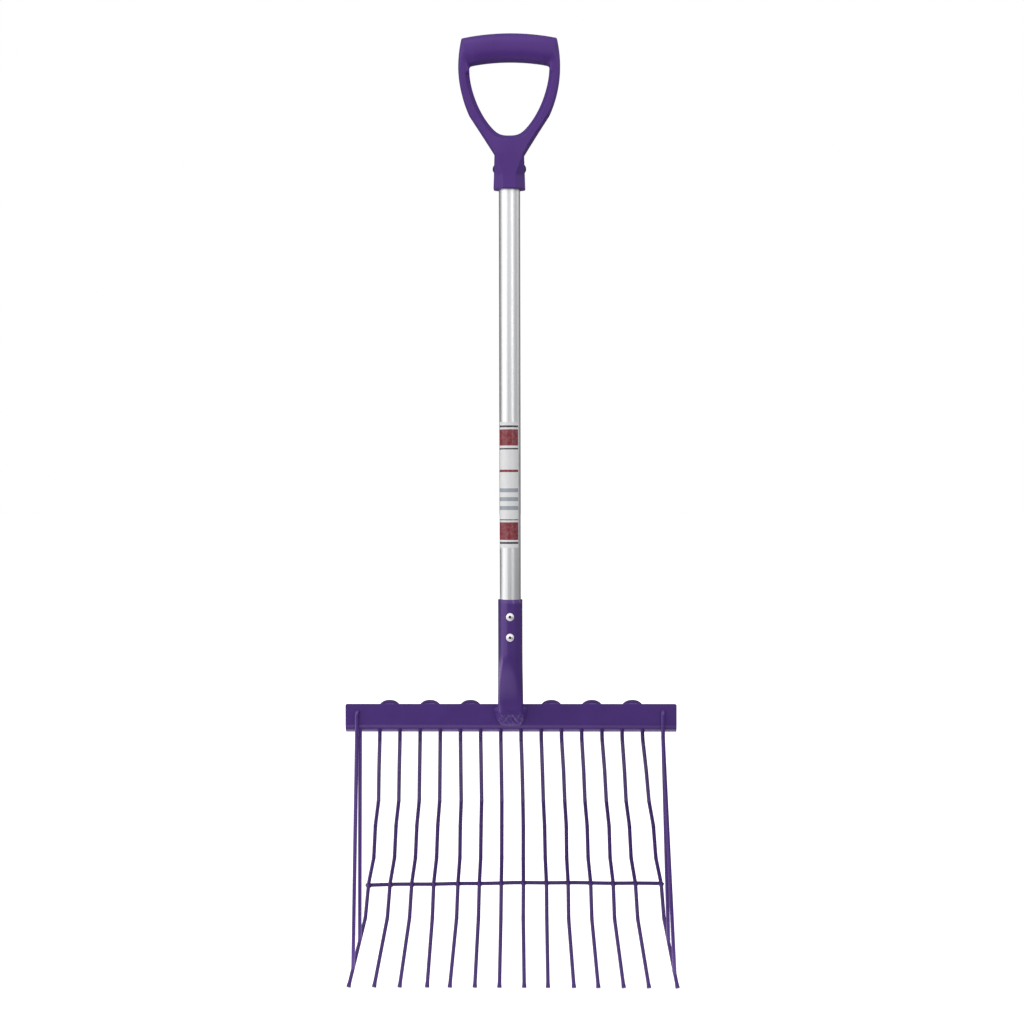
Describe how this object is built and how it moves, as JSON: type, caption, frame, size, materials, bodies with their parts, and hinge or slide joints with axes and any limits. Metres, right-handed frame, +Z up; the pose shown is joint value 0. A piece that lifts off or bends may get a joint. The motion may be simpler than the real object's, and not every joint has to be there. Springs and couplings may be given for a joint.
{
  "type": "manure fork",
  "caption": "Basket manure fork: plastic D grip and aluminium tube shaft riveted to a welded steel head of hairpin wire tines with a cross wire and side guards.",
  "frame": {"origin": "on the surface that the tine tips stand on, at the middle of the footprint", "axes": "+Z up along the shaft, -Y towards the hollow side of the scoop, +X to the right seen from there"},
  "size_m": [0.4492, 0.142, 1.2708],
  "materials": {
    "purple_coat": "gloss powder coat",
    "purple_plastic": "satin moulded",
    "satin_aluminium": "satin drawn",
    "rivet_aluminium": "plain",
    "mandrel_steel": "plain",
    "label_film": "gloss film"
  },
  "bodies": {
    "root": {"grip": "purple_plastic", "left_grip_rivet": "rivet_aluminium", "right_grip_rivet": "rivet_aluminium", "grip_rivet_mandrels": "mandrel_steel", "shaft": "satin_aluminium", "shaft_label": "label_film", "head_socket": "purple_coat", "upper_socket_rivet": "rivet_aluminium", "lower_socket_rivet": "rivet_aluminium", "socket_rivet_mandrels": "mandrel_steel", "socket_weld": "purple_coat", "crossbar": "purple_coat", "tine_pair_1": "purple_coat", "tine_pair_2": "purple_coat", "tine_pair_3": "purple_coat", "tine_pair_4": "purple_coat", "tine_pair_5": "purple_coat", "tine_pair_6": "purple_coat", "tine_pair_7": "purple_coat", "tine_welds": "purple_coat", "cross_wire": "purple_coat", "cross_wire_welds": "purple_coat", "left_guard": "purple_coat", "left_guard_welds": "purple_coat", "right_guard": "purple_coat", "right_guard_welds": "purple_coat"}
  },
  "joints": []
}
